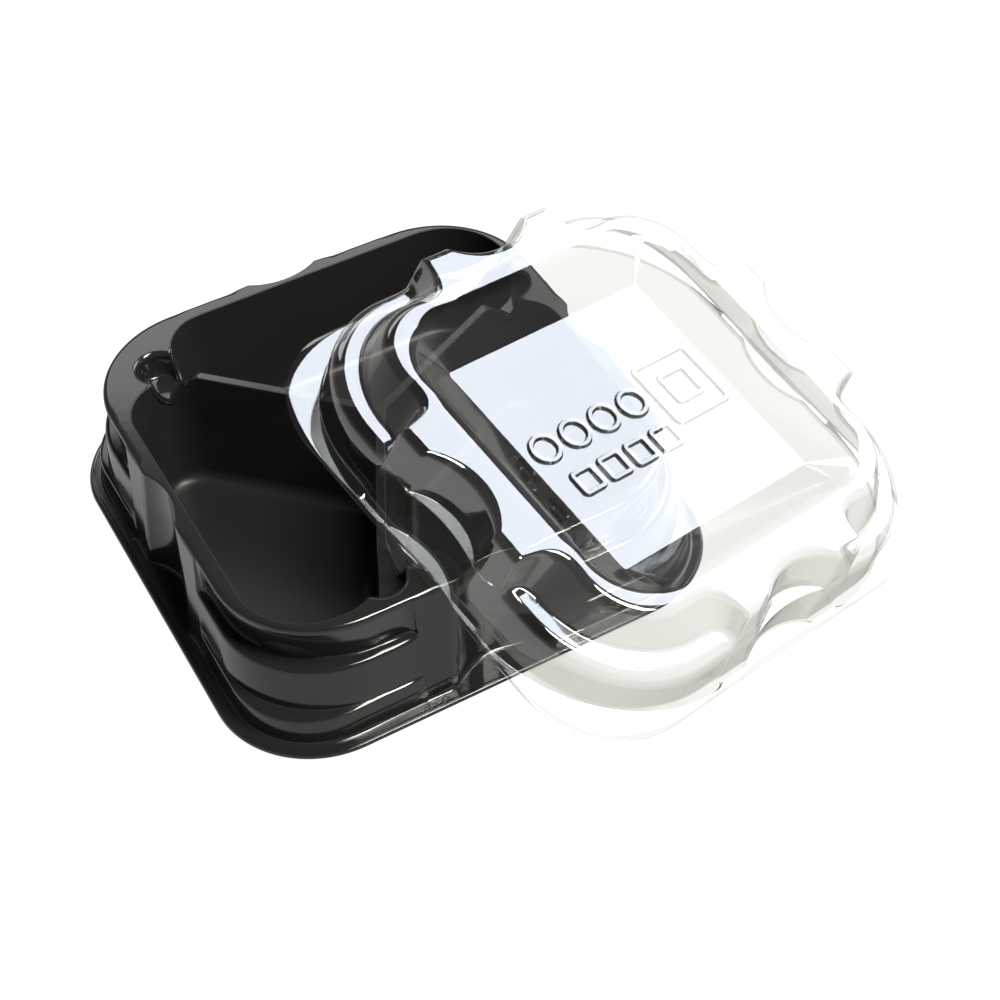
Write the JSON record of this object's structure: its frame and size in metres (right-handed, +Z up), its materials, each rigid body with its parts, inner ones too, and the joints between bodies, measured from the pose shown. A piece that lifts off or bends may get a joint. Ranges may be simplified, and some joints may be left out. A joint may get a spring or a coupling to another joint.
{
  "type": "lidded token tray",
  "caption": "Low square tray of glossy black formed plastic with divided wells and finger scallops, with its clear formed lid leaning on it, for game tokens or small parts",
  "frame": {"origin": "on the table, under the middle of the box around the tray and the leaning lid", "axes": "+Z up, +X along the tray's front edge, +Y from the tray's front edge to its back edge"},
  "size_m": [0.136, 0.1326, 0.054],
  "materials": {
    "tray_black": "gloss",
    "lid_clear": "clear gloss"
  },
  "bodies": {
    "tray": {"tray": "tray_black"},
    "lid": {"lid": "lid_clear"}
  },
  "joints": [
    {"name": "lid_lift", "type": "slide", "parent": "tray", "child": "lid", "axis": [0, 0, 1], "range_m": [0, 0.05]}
  ]
}
